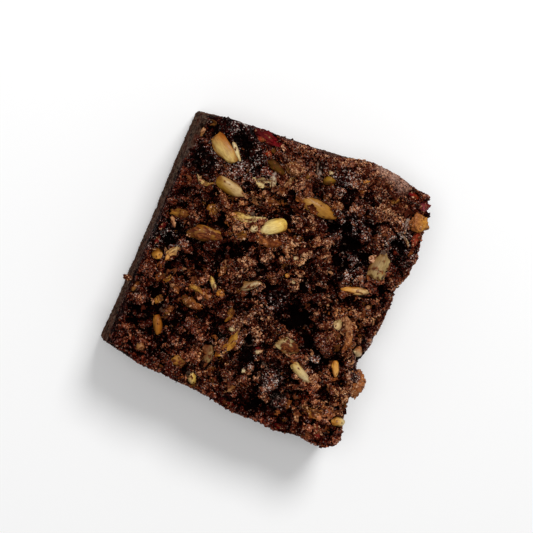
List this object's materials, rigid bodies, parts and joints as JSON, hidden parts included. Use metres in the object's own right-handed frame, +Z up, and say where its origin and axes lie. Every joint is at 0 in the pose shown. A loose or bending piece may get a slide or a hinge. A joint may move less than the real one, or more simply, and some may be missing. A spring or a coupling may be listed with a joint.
{
  "type": "brownie",
  "caption": "Square slab of seeded oat brownie with a flat base, knife-cut sides and a broken, crumbly top that holds kernels, oat flakes and nut.",
  "frame": {"origin": "centre of the bounding box at the base, on the surface that the brownie rests on", "axes": "+Z up through the top, +X across and +Y along the nearly square slab"},
  "size_m": [0.0668, 0.0724, 0.027],
  "materials": {
    "crumb": "dark moist crumb with near-black hollows and small wet glints",
    "kernel": "toasted sunflower kernel, satin, cream to gold with brown ends",
    "flake": "baked oat flake and hull, dull gold to tan",
    "nut": "toasted nut, orange brown",
    "fruit": "dried berry skin, dark crimson and wet"
  },
  "bodies": {
    "root": {"brownie": "crumb"}
  },
  "joints": []
}
